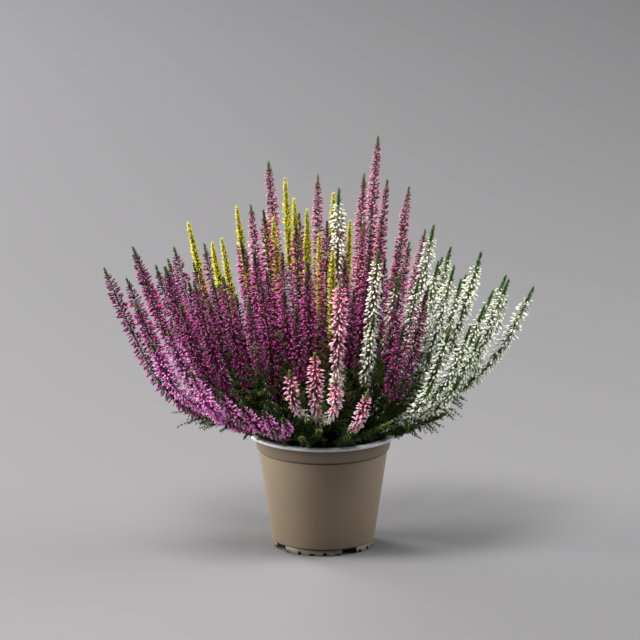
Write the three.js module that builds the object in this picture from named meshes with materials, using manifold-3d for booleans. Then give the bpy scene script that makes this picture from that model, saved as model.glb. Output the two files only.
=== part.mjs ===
// A pot of mixed bud heather: a thin plastic nursery pot with a flanged rim and a notched foot,
// the potting soil in it, and the sprays of six varieties that fan out of it.
// Millimetres, +Z up, front of the plant towards -Y, origin on the pot's axis at floor level.
import * as THREE from 'three';
import { mergeVertices } from 'three/addons/utils/BufferGeometryUtils.js';
import Module from 'manifold-3d';

const wasm = await Module();
wasm.setup();

// ---- driving dimensions ----
const potHeight = 95.5;
const rimRadius = 61.2;          // outer edge of the flange
const rimDepth = 2.8;            // of the flange's outer lip
const collarRadius = 56.2;       // top of the collar, under the flange
const shoulderRadius = 54.2;     // foot of the collar
const bodyTopRadius = 52.5;
const bodyFootRadius = 41.9;
const shoulderHeight = 81.7;
const footRadius = 40.6;
const footHeight = 5.3;
const footWall = 1.4;
const wall = 1.2;
const drainRadius = 4.5;
const drainCircle = 29;
const drainCount = 4;
const gap = 0.3;                 // clearance between any two pieces
const potSegments = 32;
const soilLevel = 86;            // mean height of the soil surface
const soilRelief = 1.1;          // how far crumbs of soil rise and sink
const stemRadius = 0.9;
const stemDepth = 7.5;           // how far a stem reaches into the soil
const holeRadius = 1.5;
const shootSides = 4;            // vertices round a shoot, peaks and valleys in turn

// ---- how the shoots spread ----
// A shoot starts upright in the soil, bends out over the rim and then rises. All shoots widen
// from the pot's axis by the same factor at a given height, so none of them cross.
const spreadFast = 3.2;
const spreadHeight = 24;
const spreadSlope = 0.0125;
const closest = 3.15;            // least distance between two shoots, measured at the soil
const sway = 0.16;               // slow wander of a shoot, measured at the soil
const crowding = 1.25;           // reach that buds and leaves are kept to, measured at the soil

function spread(h) {
  if (h <= 0) return 1;
  return 1 + spreadFast * h * h / (h * h + spreadHeight * spreadHeight) + spreadSlope * h;
}

// ---- varieties ----
// flower: length in bloom, tip: length of the leafy tip, radius: reach of the buds,
// tipRadius: reach of the tip's leaves, step: distance between whorls, lift: how far the
// buds point up (+) or hang (-)
const varieties = {
  violet: { color: 0xa8489f, flower: 150, tip: 7, radius: 6.2, tipRadius: 2.0, step: 11.5, lift: 2.6 },
  purple: { color: 0x8c2173, flower: 130, tip: 9, radius: 6.2, tipRadius: 2.1, step: 11.5, lift: 2.4 },
  pink: { color: 0xc06a97, flower: 160, tip: 7, radius: 5.6, tipRadius: 1.9, step: 12.5, lift: 2 },
  blush: { color: 0xe3a9b8, flower: 112, tip: 5, radius: 6.2, tipRadius: 2.0, step: 10.5, lift: -2 },
  white: { color: 0xe6e8dc, flower: 112, tip: 12, radius: 6.3, tipRadius: 2.2, step: 11.5, lift: -1.4 },
  yellow: { color: 0xb9b52a, flower: 78, tip: 8, radius: 3.2, tipRadius: 2.0, step: 11, lift: 3 },
  green: { color: 0x2f4a23, flower: 0, tip: 10, radius: 3.6, tipRadius: 3.0, step: 9, lift: 3 },
};
const leafRadius = 3;            // reach of the leaves on the stem below the flowers
const leafStep = 23;
const core = 2.1;                // radius of a shoot between its buds
const bloomShare = 0.64;         // most of a shoot's length that is in bloom
const branching = 0.3;           // share of its height at which a side shoot leaves

// Tips of every spray: the first is the main shoot's, the others belong to its side shoots.
const sprays = {
  violet: [
    [[-169, -79, 248], [-146, -84, 222], [-158, -66, 236]],
    [[-154, 5, 247], [-128, -12, 234], [-104, -32, 242]],
    [[-127, -66, 246], [-108, -50, 230], [-134, -42, 242]],
    [[-102, -92, 242], [-116, -86, 220]],
    [[-89, -60, 236], [-70, -66, 224], [-84, -42, 226]],
    [[-79, -100, 246], [-60, -104, 226], [-92, -78, 222]],
    [[-122, -98, 204], [-104, -96, 171], [-136, -92, 191]],
    [[-150, 48, 226], [-122, 52, 236]],
    [[-128, 88, 218], [-98, 92, 230]],
    [[-66, -98, 143], [-86, -94, 151], [-48, -100, 137], [-32, -100, 131]],
  ],
  purple: [
    [[-47, -15, 283], [-66, -24, 260], [-56, -38, 252]],
    [[-22, -45, 277], [-34, -62, 256], [-12, -60, 248]],
    [[4, -30, 277], [18, -48, 248]],
    [[-48, -92, 238], [-32, -84, 230], [-42, -72, 244]],
    [[-14, -84, 244], [-22, -92, 220]],
    [[36, -48, 250], [50, -32, 244], [24, -76, 230]],
    [[82, -70, 228], [64, -88, 204], [60, -72, 226]],
    [[-20, 60, 263], [-44, 70, 250]],
    [[40, 88, 238], [14, 100, 226]],
    [[-70, 84, 242], [-56, 106, 220]],
  ],
  pink: [
    [[44, 10, 337], [52, 30, 297]],
    [[33, -8, 310], [14, 4, 273], [39, -30, 275]],
    [[-44, 20, 314], [-56, 8, 281]],
    [[68, -20, 256], [60, -38, 236]],
    [[70, 50, 287], [48, 62, 260]],
    [[-6, 38, 297], [8, 60, 267]],
    [[84, 84, 244], [62, 106, 224]],
  ],
  blush: [
    [[-8, -96, 184], [-27, -98, 169], [10, -107, 165]],
    [[14, -90, 241]],
    [[35, -96, 151]],
  ],
  white: [
    [[172, 48, 204], [150, 30, 198]],
    [[149, -15, 225], [130, -28, 206], [138, -2, 212]],
    [[128, 20, 239], [112, 6, 220]],
    [[103, -30, 239], [93, -12, 239], [86, -34, 224]],
    [[90, 30, 260], [104, 44, 238]],
    [[118, -60, 197], [126, -44, 185], [110, -70, 157]],
    [[74, -45, 234], [58, -58, 236]],
    [[46, -66, 260], [40, -86, 212]],
    [[101, -84, 200], [88, -84, 159]],
    [[150, 62, 210], [128, 64, 220]],
    [[118, 92, 204], [98, 78, 222]],
    [[10, -18, 300]],
  ],
  yellow: [
    [[-108, 30, 262], [-92, 36, 238]],
    [[-82, -5, 256], [-90, 12, 248]],
    [[-70, 25, 276]],
    [[-31, 40, 296], [-48, 46, 267]],
    [[-26, 12, 286], [-14, 25, 273], [-40, 2, 272]],
    [[8, 26, 287], [22, 44, 260]],
    [[0, -5, 260], [-14, -18, 262]],
    [[8, -64, 260]],
  ],
  green: [
    [[-18, -90, 112], [-4, -88, 118]],
    [[20, -92, 114], [52, -78, 121]],
    [[98, -42, 120], [76, -66, 116]],
    [[104, 8, 123], [96, 28, 118]],
    [[30, 94, 121], [6, 98, 118]],
    [[-48, 88, 118], [-28, 96, 121]],
    [[-92, 36, 121], [-84, 56, 116]],
    [[-62, -46, 108], [-72, -40, 113]],
  ],
};

// ---- solids ----
const noise = (a, b) => {
  const s = Math.sin(a * 12.9898 + b * 78.233) * 43758.5453;
  return s - Math.floor(s);
};

function toSolid(geometry) {
  const plain = geometry.clone();
  plain.deleteAttribute('normal');
  plain.deleteAttribute('uv');
  const merged = mergeVertices(plain, 1e-4);
  const index = merged.index.array;
  const kept = [];
  for (let i = 0; i < index.length; i += 3) {
    const [a, b, c] = [index[i], index[i + 1], index[i + 2]];
    if (a !== b && b !== c && c !== a) kept.push(a, b, c);
  }
  return new wasm.Manifold(new wasm.Mesh({
    numProp: 3,
    vertProperties: new Float32Array(merged.attributes.position.array),
    triVerts: new Uint32Array(kept),
  }));
}

function toGeometry(solid) {
  const mesh = solid.getMesh();
  const geometry = new THREE.BufferGeometry();
  geometry.setAttribute('position', new THREE.BufferAttribute(mesh.vertProperties, mesh.numProp));
  geometry.setIndex(new THREE.BufferAttribute(mesh.triVerts, 1));
  return geometry;
}

function lathe(profile, segments) {
  const points = profile.map(([r, z]) => new THREE.Vector2(r, z));
  const geometry = new THREE.LatheGeometry(points, segments);
  geometry.rotateX(Math.PI / 2);
  return geometry;
}

const part = new THREE.Group();

function addPiece(name, solid, color, roughness) {
  const material = new THREE.MeshStandardMaterial({ color, roughness, metalness: 0 });
  const mesh = new THREE.Mesh(toGeometry(solid), material);
  mesh.name = name;
  part.add(mesh);
}

// ---- pot ----
const floorUnder = footHeight + 0.7;
const floorTop = floorUnder + 1.5;
const potProfile = [
  [0, floorUnder],
  [footRadius - footWall - 0.2, floorUnder],
  [footRadius - footWall, 0],
  [footRadius, 0],
  [footRadius, footHeight - 0.3],
  [footRadius - 0.6, footHeight],
  [footRadius - 0.6, footHeight + 0.6],
  [bodyFootRadius, footHeight + 0.9],
  [bodyTopRadius, shoulderHeight - 1.7],
  [bodyTopRadius - 0.6, shoulderHeight - 1.2],
  [bodyTopRadius - 0.6, shoulderHeight - 0.5],
  [shoulderRadius, shoulderHeight],
  [collarRadius, potHeight - rimDepth - 0.4],
  [rimRadius - 0.8, potHeight - rimDepth],
  [rimRadius, potHeight - rimDepth + 0.8],
  [rimRadius, potHeight - 0.8],
  [rimRadius - 0.8, potHeight],
  [collarRadius - 0.2, potHeight],
  [collarRadius - wall, potHeight - 1.3],
  [shoulderRadius - wall, shoulderHeight + 0.3],
  [bodyTopRadius - wall - 0.6, shoulderHeight - 2],
  [bodyFootRadius - wall - 0.2, floorTop],
  [0, floorTop],
  [0, floorUnder],
];

// The foot has four wide slots at its quarters and five small notches between each two.
const footPitch = Math.PI / 12;
const firstSlot = THREE.MathUtils.degToRad(-58);
const slotShape = [[-8, -1], [8, -1], [6.6, footHeight - 0.3], [-6.6, footHeight - 0.3]];
const flatShape = [[-2.6, -1], [2.6, -1], [2.3, 1.5], [-2.3, 1.5]];
const archShape = [[-1.7, -1], [1.7, -1], [1.5, 2.2], [0, 3.2], [-1.5, 2.2]];

function footCut(outline, angle) {
  const shape = new THREE.Shape(outline.map(([x, y]) => new THREE.Vector2(x, y)));
  const cut = new THREE.ExtrudeGeometry(shape, { depth: 6, bevelEnabled: false });
  cut.rotateX(Math.PI / 2);
  cut.translate(0, 3 - footRadius, 0);
  cut.rotateZ(angle);
  return toSolid(cut);
}

let pot = toSolid(lathe(potProfile, potSegments));
for (let i = 0; i < 24; i += 1) {
  const inQuarter = i % 6;
  const small = inQuarter % 2 === 1 ? flatShape : archShape;
  pot = pot.subtract(footCut(inQuarter === 0 ? slotShape : small, firstSlot + i * footPitch));
}

for (let i = 0; i < drainCount; i += 1) {
  const drain = new THREE.CylinderGeometry(drainRadius, drainRadius, 6, 8);
  drain.rotateX(Math.PI / 2);
  drain.translate(drainCircle, 0, floorUnder);
  drain.rotateZ(2 * Math.PI * i / drainCount);
  pot = pot.subtract(toSolid(drain));
}
addPiece('pot', pot, 0x8b7c6a, 0.55);

// ---- potting soil ----
const soilProfile = [
  [0, floorTop + gap],
  [bodyFootRadius - wall - 0.2 - gap, floorTop + gap],
  [bodyTopRadius - wall - 0.6 - gap, shoulderHeight - 2],
  [shoulderRadius - wall - gap, shoulderHeight + 0.5],
  [shoulderRadius - wall + 0.4, soilLevel],
  [36, soilLevel],
  [18, soilLevel],
  [0, soilLevel],
];
const soilShape = lathe(soilProfile, potSegments);
const soilPoints = soilShape.attributes.position;
for (let i = 0; i < soilPoints.count; i += 1) {
  const [x, y, z] = [soilPoints.getX(i), soilPoints.getY(i), soilPoints.getZ(i)];
  if (z < soilLevel - 0.1) continue;
  const crumb = noise(Math.round(x), Math.round(y)) * 2 - 1;
  soilPoints.setZ(i, z + crumb * soilRelief);
}
let soil = toSolid(soilShape);

// ---- shoots ----
// Every tip becomes a line of its own, named by where it would stand at the soil.
const shoots = [];
for (const [variety, list] of Object.entries(sprays)) {
  list.forEach((tips, spray) => {
    tips.forEach(([x, y, z], rank) => {
      const height = z - soilLevel;
      const wide = spread(height);
      shoots.push({ variety, spray, rank, height, x: x / wide, y: y / wide });
    });
  });
}

// Lines that stand too close move apart, mostly forwards and backwards.
for (let round = 0; round < 80; round += 1) {
  for (let i = 0; i < shoots.length; i += 1) {
    for (let j = i + 1; j < shoots.length; j += 1) {
      const [a, b] = [shoots[i], shoots[j]];
      const dx = b.x - a.x;
      const dy = b.y - a.y;
      const apart = Math.sqrt(dx * dx + dy * dy);
      if (apart >= closest) continue;
      const push = 0.25 * (closest - apart) / apart;
      a.x -= 0.4 * push * dx;
      b.x += 0.4 * push * dx;
      a.y -= push * dy;
      b.y += push * dy;
    }
  }
}

const smooth = (t) => {
  const c = Math.min(1, Math.max(0, t));
  return c * c * (3 - 2 * c);
};

// The centre line of a shoot; a side shoot leaves its main shoot part of the way up.
function centreLine(shoot, main) {
  const start = shoot === main ? -stemDepth : branching * shoot.height;
  const full = start + 12 + 0.2 * shoot.height;
  const phase = 6.283 * noise(shoot.x, shoot.y);
  const count = 200;
  const points = [];
  for (let i = 0; i <= count; i += 1) {
    const h = start + (shoot.height - start) * i / count;
    const own = shoot === main ? 1 : smooth((h - start) / (full - start));
    const wander = sway * smooth(h / 60) * (1 - smooth(h / shoot.height));
    const x = main.x + (shoot.x - main.x) * own + wander * Math.sin(h / 19 + phase);
    const y = main.y + (shoot.y - main.y) * own + wander * Math.cos(h / 23 + phase);
    points.push(new THREE.Vector3(x * spread(h), y * spread(h), soilLevel + h));
  }
  return points;
}

// Rings from the foot of a shoot to its tip: distance back from the tip, reach of the buds
// or leaves, radius between them.
function shootRings(variety, length, bare) {
  const rings = [];
  const inBloom = variety.tip + Math.min(variety.flower, bloomShare * length);
  let back = variety.tip * 0.45;
  while (back < length - bare) {
    const inTip = back < variety.tip;
    const inFlower = !inTip && back < inBloom;
    const opening = Math.min(1, 0.6 + (back - variety.tip) / 50);
    let peak = inFlower ? variety.radius * opening : leafRadius;
    if (inTip) peak = variety.tipRadius;
    rings.push({ back, peak, valley: Math.min(core, peak * 0.6) });
    const near = inTip ? variety.tip * 0.55 : variety.step;
    back += back < inBloom ? near : leafStep;
  }
  rings.push({ back: length - bare * 0.55, peak: stemRadius, valley: stemRadius });
  rings.push({ back: length, peak: stemRadius, valley: stemRadius });
  return rings.reverse();
}

function shootSolid(line, variety, bare) {
  const reach = [0];
  for (let i = 1; i < line.length; i += 1) {
    reach.push(reach[i - 1] + line[i].distanceTo(line[i - 1]));
  }
  const length = reach[reach.length - 1];
  const rings = shootRings(variety, length, bare);
  const n = shootSides;
  const vertices = [];
  let segment = 1;
  rings.forEach(({ back, peak, valley }, i) => {
    const along = length - back;
    while (segment < reach.length - 1 && reach[segment] < along) segment += 1;
    const t = (along - reach[segment - 1]) / (reach[segment] - reach[segment - 1]);
    const centre = line[segment - 1].clone().lerp(line[segment], t);
    const axis = line[segment].clone().sub(line[segment - 1]).normalize();
    const u = new THREE.Vector3(1, 0, 0).addScaledVector(axis, -axis.x).normalize();
    const v = axis.clone().cross(u);
    const room = crowding * spread(centre.z - soilLevel);
    for (let j = 0; j < n; j += 1) {
      const high = (i + j) % 2 === 1 && peak > stemRadius;
      const radius = high ? Math.min(peak, room) : valley;
      const angle = 2 * Math.PI * j / n;
      const point = centre.clone();
      point.addScaledVector(u, radius * Math.cos(angle));
      point.addScaledVector(v, radius * Math.sin(angle));
      if (high) point.addScaledVector(axis, variety.lift);
      vertices.push(point.x, point.y, point.z);
    }
  });
  const tip = line[line.length - 1];
  const foot = line[0];
  vertices.push(foot.x, foot.y, foot.z, tip.x, tip.y, tip.z);
  const footAt = rings.length * n;
  const tipAt = footAt + 1;
  const index = [];
  for (let j = 0; j < n; j += 1) {
    const next = (j + 1) % n;
    index.push(footAt, next, j);
    index.push(tipAt, (rings.length - 1) * n + j, (rings.length - 1) * n + next);
    for (let i = 0; i < rings.length - 1; i += 1) {
      const [a, b] = [i * n + j, i * n + next];
      const [c, d] = [b + n, a + n];
      if ((i + j) % 2 === 1) index.push(a, b, d, b, c, d);
      else index.push(a, b, c, a, c, d);
    }
  }
  const geometry = new THREE.BufferGeometry();
  geometry.setAttribute('position', new THREE.Float32BufferAttribute(vertices, 3));
  geometry.setIndex(index);
  return toSolid(geometry);
}

const bareMain = stemDepth + 8;
const bareSide = 5;
const mains = shoots.filter((shoot) => shoot.rank === 0);
const pieces = mains.map((main) => {
  const variety = varieties[main.variety];
  let solid = shootSolid(centreLine(main, main), variety, bareMain);
  const sides = shoots.filter((s) => s.variety === main.variety && s.spray === main.spray && s.rank > 0);
  for (const side of sides) {
    solid = solid.add(shootSolid(centreLine(side, main), variety, bareSide));
  }
  return { main, variety, solid };
});

// Each main shoot stands in a plain hole in the soil.
for (const { main } of pieces) {
  const depth = stemDepth + gap;
  const hole = new THREE.CylinderGeometry(holeRadius, holeRadius, depth + 4, shootSides);
  hole.rotateX(Math.PI / 2);
  hole.rotateZ(Math.PI / 2);
  hole.translate(main.x, main.y, soilLevel - depth + (depth + 4) / 2);
  soil = soil.subtract(toSolid(hole));
}
addPiece('potting_soil', soil, 0x1d1712, 0.95);

for (const { main, variety, solid } of pieces) {
  const kind = main.variety === 'green' ? 'leafy_shoot' : `${main.variety}_spray`;
  addPiece(`${kind}_${main.spray + 1}`, solid, variety.color, 0.7);
}

export default part;
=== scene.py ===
import math

import bpy
import numpy as np
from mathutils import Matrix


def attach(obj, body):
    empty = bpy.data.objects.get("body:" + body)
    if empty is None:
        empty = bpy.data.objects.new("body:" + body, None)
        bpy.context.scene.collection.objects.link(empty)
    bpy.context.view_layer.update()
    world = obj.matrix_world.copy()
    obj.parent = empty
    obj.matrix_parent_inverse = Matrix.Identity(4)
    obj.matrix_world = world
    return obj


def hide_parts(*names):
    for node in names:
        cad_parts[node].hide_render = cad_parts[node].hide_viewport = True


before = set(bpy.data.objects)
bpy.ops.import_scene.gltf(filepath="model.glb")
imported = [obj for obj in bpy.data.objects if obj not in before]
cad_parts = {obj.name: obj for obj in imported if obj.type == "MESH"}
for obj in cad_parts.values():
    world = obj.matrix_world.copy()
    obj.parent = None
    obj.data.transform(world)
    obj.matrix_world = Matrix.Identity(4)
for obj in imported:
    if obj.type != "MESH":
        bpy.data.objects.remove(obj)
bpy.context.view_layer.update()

mm = 0.001
view = bpy.context.scene.view_settings
view.view_transform = "Standard"
view.look = "None"


# Camera, floor and light, in metres, degrees and watts
studio = {
    "distance": 4.5,
    "elevation": 13.3,
    "aim": (-0.0026, 0.0, 0.1878),
    "lens": 312.2,
    "sensor": 36,
    "farClip": 60,
    "floorSize": 60.0,
    "floorPlace": (0, 2, 0),
    "floorColor": (0.17, 0.167, 0.17),
    "worldColor": (0.42, 0.42, 0.43),
    "worldStrength": 0.25,
    "lights": [
        {"name": "left_softbox", "place": (-3.15, 0.0, 1.05), "aim": (0, 0, 0.18), "size": (1.7, 1.15),
         "power": 169, "color": (1, 0.985, 0.965)},
        {"name": "right_softbox", "place": (1.7, 0.2, 0.9), "aim": (0, 0, 0.15), "size": (1.5, 1.6),
         "power": 34, "color": (0.985, 0.99, 1)},
        {"name": "top_softbox", "place": (-0.45, -0.76, 1.98), "aim": (0, 0, 0.15), "size": (0.7, 0.7),
         "power": 57, "color": (1, 1, 1)},
        {"name": "back_softbox", "place": (-2.1, 2.4, 1.7), "aim": (-0.9, 2.4, 0), "size": (1.4, 1.4),
         "power": 138, "color": (0.99, 0.99, 1)},
    ],
}


def areaLight(name, place, aim, size, power, color):
    bpy.ops.object.light_add(type="AREA", location=place)
    lamp = bpy.context.object
    lamp.name = name
    lamp.data.shape = "RECTANGLE"
    lamp.data.size, lamp.data.size_y = size
    lamp.data.energy = power
    lamp.data.color = color
    lamp.visible_camera = False
    x, y, z = (p - a for p, a in zip(place, aim))
    lamp.rotation_euler = (math.atan2(math.hypot(x, y), z), 0, math.atan2(x, -y))


def setStudio():
    tilt = math.radians(studio["elevation"])
    x, y, z = studio["aim"]
    place = (x, y - studio["distance"] * math.cos(tilt), z + studio["distance"] * math.sin(tilt))
    bpy.ops.object.camera_add(location=place, rotation=(math.pi / 2 - tilt, 0, 0))
    camera = bpy.context.object
    camera.data.lens = studio["lens"]
    camera.data.sensor_width = studio["sensor"]
    camera.data.clip_end = studio["farClip"]
    bpy.context.scene.camera = camera

    bpy.ops.mesh.primitive_plane_add(size=studio["floorSize"], location=studio["floorPlace"])
    floor = bpy.context.object
    floor.name = "floor"
    paint = Finish("floor_paper", roughness=0.85)
    paint.color(studio["floorColor"])
    floor.data.materials.append(paint.material)

    world = bpy.data.worlds.new("studio")
    bpy.context.scene.world = world
    world.use_nodes = True
    back = world.node_tree.nodes["Background"]
    back.inputs["Color"].default_value = (*studio["worldColor"], 1)
    back.inputs["Strength"].default_value = studio["worldStrength"]
    for light in studio["lights"]:
        areaLight(**light)


# Materials
class Wire:  # a socket in a material, so that values are written as sums
    def __init__(self, finish, socket):
        self.finish = finish
        self.socket = socket

    def calc(self, operation, left, right):
        return self.finish.node("ShaderNodeMath", {"operation": operation}, {0: left, 1: right})

    def __add__(self, other):
        return self.calc("ADD", self, other)

    def __radd__(self, other):
        return self.calc("ADD", other, self)

    def __mul__(self, other):
        return self.calc("MULTIPLY", self, other)

    def __rmul__(self, other):
        return self.calc("MULTIPLY", other, self)


class Finish:  # one material and its node tree
    def __init__(self, name, roughness=0.6, **shader):
        self.material = bpy.data.materials.new(name)
        self.material.use_nodes = True
        self.tree = self.material.node_tree
        self.shader = self.tree.nodes["Principled BSDF"]
        self.shader.inputs["Roughness"].default_value = roughness
        for socket, value in shader.items():
            self.shader.inputs[socket].default_value = value

    def node(self, kind, settings=None, sockets=None, out=0):
        made = self.tree.nodes.new(kind)
        for key, value in (settings or {}).items():
            if key == "stops":
                self.setStops(made.color_ramp, value)
            else:
                setattr(made, key, value)
        for key, value in (sockets or {}).items():
            if isinstance(value, Wire):
                self.tree.links.new(value.socket, made.inputs[key])
            else:
                made.inputs[key].default_value = value
        return Wire(self, made.outputs[out])

    def setStops(self, ramp, stops):
        for spare in range(len(stops) - len(ramp.elements)):
            ramp.elements.new(0.5)
        for element, (place, color) in zip(ramp.elements, stops):
            element.position = place
            element.color = (*color, 1)

    def ramp(self, value, stops):
        return self.node("ShaderNodeValToRGB", {"stops": stops}, {"Fac": value})

    def greys(self, value, stops):  # a ramp from one grey to the next
        return self.ramp(value, [(place, (grey, grey, grey)) for place, grey in stops])

    def mix(self, factor, first, second, blend="MIX"):
        colors = [c if isinstance(c, Wire) else (*c, 1) for c in (first, second)]
        settings = {"data_type": "RGBA", "blend_type": blend}
        return self.node("ShaderNodeMix", settings, {0: factor, 6: colors[0], 7: colors[1]}, out=2)

    def place(self):
        return self.node("ShaderNodeTexCoord", out=3)

    def decimetres(self):  # height over the floor
        return self.node("ShaderNodeSeparateXYZ", None, {0: self.place()}, out=2) * 10

    def noise(self, scale, detail=3.0, rough=0.55):
        sockets = {"Vector": self.place(), "Scale": scale, "Detail": detail, "Roughness": rough}
        return self.node("ShaderNodeTexNoise", None, sockets)

    def bud(self, channel):  # 0 is the tone drawn for each bud or leaf, 1 is how far along it a point lies
        uv = self.node("ShaderNodeUVMap", {"uv_map": "bud"})
        return self.node("ShaderNodeSeparateXYZ", None, {0: uv}, out=channel)

    def rise(self):  # 0 low down on a shoot, 1 at its top
        return self.node("ShaderNodeAttribute", {"attribute_name": "rise"}, out=2)

    def color(self, value):
        self.feed("Base Color", value if isinstance(value, Wire) else (*value, 1))

    def feed(self, socket, value):
        if isinstance(value, Wire):
            self.tree.links.new(value.socket, self.shader.inputs[socket])
        else:
            self.shader.inputs[socket].default_value = value

    def bump(self, height, strength, distance):
        sockets = {"Strength": strength, "Distance": distance, "Height": height}
        self.feed("Normal", self.node("ShaderNodeBump", None, sockets))


def linear(r, g, b):  # screen colour 0-255 to the linear colour the shader wants
    return tuple((c / 255 / 12.92) if c < 10.3 else ((c / 255 + 0.055) / 1.055) ** 2.4 for c in (r, g, b))


petalLook = {
    "roughness": 0.45,
    "specular": 0.35,
    "stalkFade": (0.1, 0.04),  # from here on a bud to this far past its bare foot
    "base": 0.12,  # past the bare foot
    "middle": 0.52,
    "tip": 0.93,
    "old": (0.16, 0.52),  # along a spike, from the oldest buds to full colour
    "closed": (0.72, 1.0, 0.75),  # the same for the closed buds at its top, and how closed the last are
    "patches": 24,
    "patchLight": (0.82, 0.36),
    "hue": (0.472, 0.026, 0.03),  # at rest, by bud and by patch
    "saturation": (1.0, 0.2),
    "grain": 2600,
}


def petalFinish(name, stalk, base, middle, tip, low, young, age=0.45, dim=0.48, gain=0.74, bare=0.2):
    # stalk, base, middle and tip run along one bud, whose foot is bare stalk; its darker base and paler tip
    # are partly the bud's own colour and partly painted shade and a painted highlight
    # low tints the oldest buds, as much as age says, and young the closed ones
    # dim is how light the darkest bud is, and gain how much lighter the lightest
    look = petalLook
    finish = Finish(name, roughness=look["roughness"], **{"Specular IOR Level": look["specular"]})
    tone, along, rise = finish.bud(0), finish.bud(1), finish.rise()
    # painted shade deepens each bud's inner half and a painted highlight lightens its tip, over its own darker
    # calyx and paler petal
    petal = finish.ramp(along, [(bare, linear(*stalk)), (bare + look["base"], linear(*base)),
                                (look["middle"] + bare / 2, linear(*middle)), (look["tip"], linear(*tip))])
    oldFrom, oldTo = look["old"]
    closedFrom, closedTo, closedShare = look["closed"]
    old = finish.greys(rise, [(oldFrom, age), (oldTo, 0)])
    closed = finish.greys(rise, [(closedFrom, 0), (closedTo, closedShare)])
    aged = finish.mix(closed, finish.mix(old, petal, linear(*low)), linear(*young))
    fadeFrom, fadePast = look["stalkFade"]
    foot = finish.greys(along, [(fadeFrom, 1), (bare + fadePast, 0)])
    patch = finish.noise(look["patches"], 2)
    hue, hueByBud, hueByPatch = look["hue"]
    saturation, saturationByBud = look["saturation"]
    patchDark, patchGain = look["patchLight"]
    finish.color(finish.node("ShaderNodeHueSaturation", None, {
        "Hue": hue + tone * hueByBud + patch * hueByPatch,
        "Saturation": saturation + tone * saturationByBud,
        "Value": (dim + tone * gain) * (patchDark + patch * patchGain),
        "Color": finish.mix(foot, aged, linear(*stalk)),
    }))
    finish.bump(finish.noise(look["grain"], 2), 0.25, 0.0002)
    return finish.material


def leafFinish(name, dark, light):
    finish = Finish(name, roughness=0.55, **{"Specular IOR Level": 0.25})
    shade = finish.mix(finish.bud(0) * 0.6 + finish.bud(1) * 0.4, linear(*dark), linear(*light))
    blotch = finish.greys(finish.noise(420), [(0.35, 0.75), (0.7, 1.1)])
    # painted shade: the leaves darken close to the soil
    depth = finish.greys(finish.decimetres() * 0.5, [(0.48, 0.3), (0.61, 1)])  # dark close to the soil
    finish.color(finish.mix(1.0, finish.mix(1.0, shade, blotch, "MULTIPLY"), depth, "MULTIPLY"))
    finish.bump(finish.noise(2200, 2), 0.3, 0.0002)
    return finish.material


def stemFinish(name, bark, young):
    finish = Finish(name, roughness=0.7)
    grain = finish.noise(700, 4)
    shade = finish.mix(finish.rise(), linear(*bark), linear(*young))
    worn = finish.greys(grain, [(0.3, 0.6), (0.7, 1.2)])
    finish.color(finish.mix(1.0, shade, worn, "MULTIPLY"))
    finish.bump(grain, 0.5, 0.0004)
    return finish.material


# Small shapes, each modelled once and copied onto every shoot
def clearPick():
    bpy.ops.object.select_all(action="DESELECT")


def pick(thing, others=()):
    clearPick()
    for other in (*others, thing):
        other.select_set(True)
    bpy.context.view_layer.objects.active = thing


def editAll():
    bpy.ops.object.mode_set(mode="EDIT")
    bpy.ops.mesh.select_all(action="SELECT")


def endEdit():
    bpy.ops.object.mode_set(mode="OBJECT")


def pickPoints(thing, test):
    bpy.ops.object.mode_set(mode="EDIT")
    bpy.ops.mesh.select_all(action="DESELECT")
    endEdit()
    for point in thing.data.vertices:
        point.select = test(point.co)
    bpy.ops.object.mode_set(mode="EDIT")


def takeShape(thing):  # its points and faces, as arrays, and how far each point is along it
    points = np.array([tuple(p.co) for p in thing.data.vertices])
    faces = [tuple(f.vertices) for f in thing.data.polygons]
    bpy.data.objects.remove(thing)
    return {"points": points, "faces": faces, "along": np.clip(points[:, 2], 0, 1)}


def makeBud():  # one bud on its stalk, 1 long and 1 wide, standing on the origin
    clearPick()
    bpy.ops.mesh.primitive_uv_sphere_add(segments=4, ring_count=3, radius=0.5)
    bud = bpy.context.object
    editAll()
    bpy.ops.transform.translate(value=(0, 0, 0.5))
    endEdit()
    pickPoints(bud, lambda co: 0.1 < co.z < 0.5)  # the lower ring, narrow as the bud's foot
    bpy.ops.transform.resize(value=(0.7, 0.7, 1.0))
    bpy.ops.transform.translate(value=(0, 0, 0.08))
    endEdit()
    pickPoints(bud, lambda co: 0.5 < co.z < 0.9)  # the upper ring, full
    bpy.ops.transform.resize(value=(1.25, 1.25, 1.0))
    endEdit()
    return takeShape(bud)


def makeCone(foot, tip):  # a three-sided needle or twig, 1 long, standing on the origin
    clearPick()
    bpy.ops.mesh.primitive_cone_add(vertices=3, radius1=foot, radius2=tip, depth=1, location=(0, 0, 0.5))
    bpy.ops.object.transform_apply(location=True, rotation=True, scale=True)
    return takeShape(bpy.context.object)


def makeCrumb():  # one crumb of soil, 1 across
    clearPick()
    bpy.ops.mesh.primitive_ico_sphere_add(subdivisions=1, radius=0.5)
    return takeShape(bpy.context.object)


# Where the shoots grow, in millimetres
growth = {
    "soilLevel": 86.0,
    "stemDepth": 7.5,  # how deep a stem stands in the soil
    "spreadFast": 3.2,  # lines move out fast up to about spreadHeight, and by spreadSlope above it
    "spreadHeight": 24.0,
    "spreadSlope": 0.0125,
    "closest": 3.15,  # lines closer than this at the soil are pushed apart
    "pushRounds": 80,
    "pushShare": 0.25,
    "pushSideways": 0.4,
    "sway": 0.16,
    "swayLengths": (19, 23),
    "branching": 0.3,  # where a side shoot leaves the main one, as a share of its height
    "ownLine": (12, 0.2),  # it follows its own line after this much height, and this share of it
    "linePoints": 201,
    "crowding": 1.6,
    "bareMain": 4,  # no leaves this far up from the soil, or from where a side shoot starts
    "bareSide": 3,
    "bloomShare": 0.64,  # the most of a shoot that flowers
    "frontShare": 0.5,  # the same for tall shoots at the front
    "riseHeight": 120,  # stems turn to their young colour up to here
}

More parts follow.
